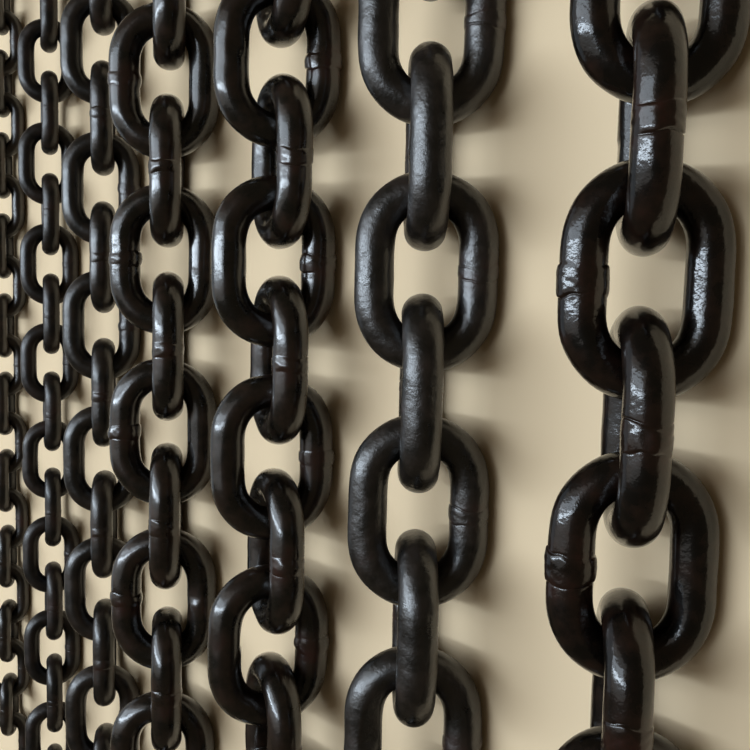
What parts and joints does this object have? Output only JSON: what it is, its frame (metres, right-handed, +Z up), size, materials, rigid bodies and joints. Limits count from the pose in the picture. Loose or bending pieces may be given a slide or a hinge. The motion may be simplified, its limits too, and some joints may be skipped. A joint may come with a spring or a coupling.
{
  "type": "short-link welded steel chain strands",
  "caption": "Strands of short-link welded steel lifting chain in graded thicknesses, black lacquered, with interlocked oval links leaning crosswise, laid side by side in straight rows.",
  "frame": {"origin": "on the floor, under the middle of the whole set's box", "axes": "+Z up; +Y along the strands, towards their far ends; +X across them, from the thinnest chain to the thickest"},
  "size_m": [0.4248, 0.5172, 0.0423],
  "materials": {
    "gloss_black_lacquer": "gloss",
    "satin_black_lacquer": "satin"
  },
  "bodies": {
    "root": {"strand_1_link_01": "gloss_black_lacquer", "strand_1_link_02": "gloss_black_lacquer", "strand_1_link_03": "gloss_black_lacquer", "strand_1_link_04": "gloss_black_lacquer", "strand_1_link_05": "gloss_black_lacquer", "strand_1_link_06": "gloss_black_lacquer", "strand_1_link_07": "gloss_black_lacquer", "strand_1_link_08": "gloss_black_lacquer", "strand_1_link_09": "gloss_black_lacquer", "strand_1_link_10": "gloss_black_lacquer", "strand_1_link_11": "gloss_black_lacquer", "strand_2_link_01": "satin_black_lacquer", "strand_2_link_02": "satin_black_lacquer", "strand_2_link_03": "satin_black_lacquer", "strand_2_link_04": "satin_black_lacquer", "strand_2_link_05": "satin_black_lacquer", "strand_2_link_06": "satin_black_lacquer", "strand_2_link_07": "satin_black_lacquer", "strand_2_link_08": "satin_black_lacquer", "strand_2_link_09": "satin_black_lacquer", "strand_2_link_10": "satin_black_lacquer", "strand_2_link_11": "satin_black_lacquer", "strand_2_link_12": "satin_black_lacquer", "strand_3_link_01": "gloss_black_lacquer", "strand_3_link_02": "gloss_black_lacquer", "strand_3_link_03": "gloss_black_lacquer", "strand_3_link_04": "gloss_black_lacquer", "strand_3_link_05": "gloss_black_lacquer", "strand_3_link_06": "gloss_black_lacquer", "strand_3_link_07": "gloss_black_lacquer", "strand_3_link_08": "gloss_black_lacquer", "strand_3_link_09": "gloss_black_lacquer", "strand_3_link_10": "gloss_black_lacquer", "strand_3_link_11": "gloss_black_lacquer", "strand_3_link_12": "gloss_black_lacquer", "strand_3_link_13": "gloss_black_lacquer", "strand_4_link_01": "gloss_black_lacquer", "strand_4_link_02": "gloss_black_lacquer", "strand_4_link_03": "gloss_black_lacquer", "strand_4_link_04": "gloss_black_lacquer", "strand_4_link_05": "gloss_black_lacquer", "strand_4_link_06": "gloss_black_lacquer", "strand_4_link_07": "gloss_black_lacquer", "strand_4_link_08": "gloss_black_lacquer", "strand_4_link_09": "gloss_black_lacquer", "strand_4_link_10": "gloss_black_lacquer", "strand_4_link_11": "gloss_black_lacquer", "strand_4_link_12": "gloss_black_lacquer", "strand_5_links_01_to_04": "satin_black_lacquer", "strand_5_links_05_to_08": "satin_black_lacquer", "strand_5_links_09_to_12": "satin_black_lacquer", "strand_5_links_13_to_15": "satin_black_lacquer", "strand_6_links_01_to_05": "satin_black_lacquer", "strand_6_links_06_to_10": "satin_black_lacquer", "strand_6_links_11_to_15": "satin_black_lacquer", "strand_6_links_16_to_19": "satin_black_lacquer", "strand_7_links_01_to_06": "satin_black_lacquer", "strand_7_links_07_to_11": "satin_black_lacquer", "strand_7_links_12_to_16": "satin_black_lacquer", "strand_7_links_17_to_21": "satin_black_lacquer"}
  },
  "joints": []
}
